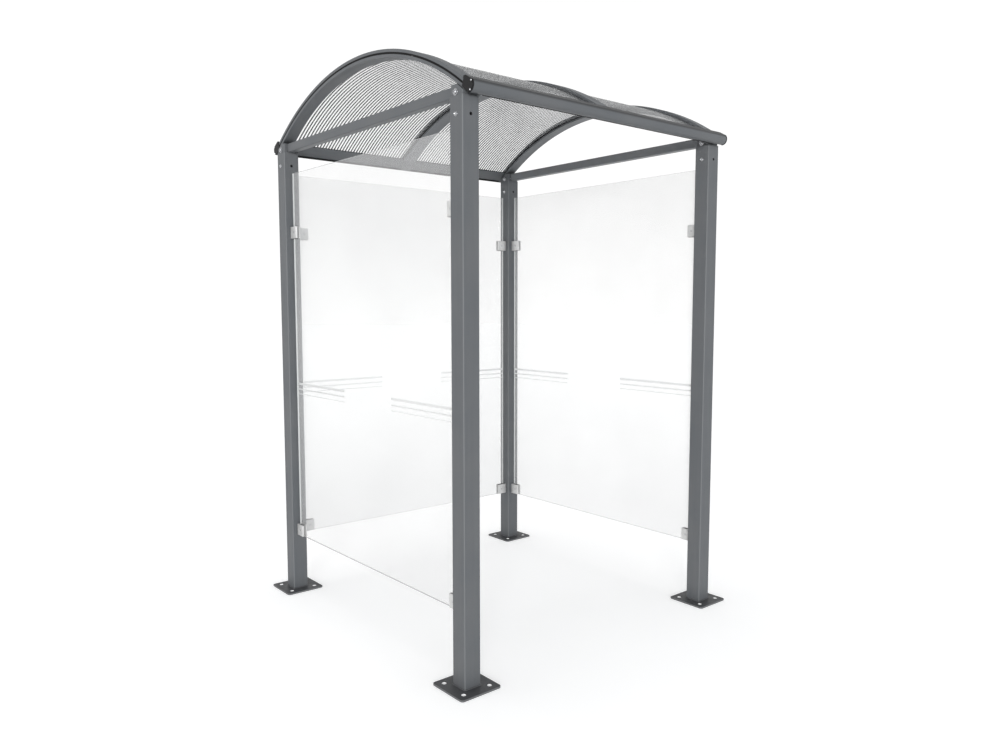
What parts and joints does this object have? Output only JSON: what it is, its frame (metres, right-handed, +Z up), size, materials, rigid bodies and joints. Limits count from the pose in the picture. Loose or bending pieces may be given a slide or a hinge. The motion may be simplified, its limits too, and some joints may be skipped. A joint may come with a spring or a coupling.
{
  "type": "pay station shelter",
  "caption": "Open-fronted shelter on square posts, with clamped glass on the sides and back and a barrel-vaulted translucent roof between gutters.",
  "frame": {"origin": "centre of the plan at ground level, under the base plates", "axes": "+X along the open front from the left post to the right post, +Y from the open front to the back glass, +Z up"},
  "size_m": [1.71, 1.71, 2.6176],
  "materials": {
    "frame": "satin powder coat",
    "plate": "satin powder coat",
    "cap": "moulded",
    "sheet": "translucent twin-wall",
    "glass": "clear toughened",
    "clamp": "satin"
  },
  "bodies": {
    "root": {"post_front_left": "frame", "post_front_right": "frame", "post_back_left": "frame", "post_back_right": "frame", "base_plate_front_left": "plate", "base_plate_front_right": "plate", "base_plate_back_left": "plate", "base_plate_back_right": "plate", "head_bracket_front_left": "frame", "head_bracket_front_right": "frame", "head_bracket_back_left": "frame", "head_bracket_back_right": "frame", "tie_beam_left": "frame", "tie_beam_right": "frame", "gutter_front": "frame", "gutter_back": "frame", "gutter_cap_front_left": "cap", "gutter_cap_front_right": "cap", "gutter_cap_back_left": "cap", "gutter_cap_back_right": "cap", "arch_left": "frame", "arch_middle": "frame", "arch_right": "frame", "arch_cover_left": "frame", "arch_cover_middle": "frame", "arch_cover_right": "frame", "roof_sheet_left": "sheet", "roof_sheet_right": "sheet", "glass_left": "glass", "glass_back": "glass", "glass_right": "glass", "clamp_left_front_upper": "clamp", "clamp_left_front_lower": "clamp", "clamp_left_back_upper": "clamp", "clamp_left_back_lower": "clamp", "clamp_right_front_upper": "clamp", "clamp_right_front_lower": "clamp", "clamp_right_back_upper": "clamp", "clamp_right_back_lower": "clamp", "clamp_back_left_upper": "clamp", "clamp_back_left_lower": "clamp", "clamp_back_right_upper": "clamp", "clamp_back_right_lower": "clamp"}
  },
  "joints": []
}
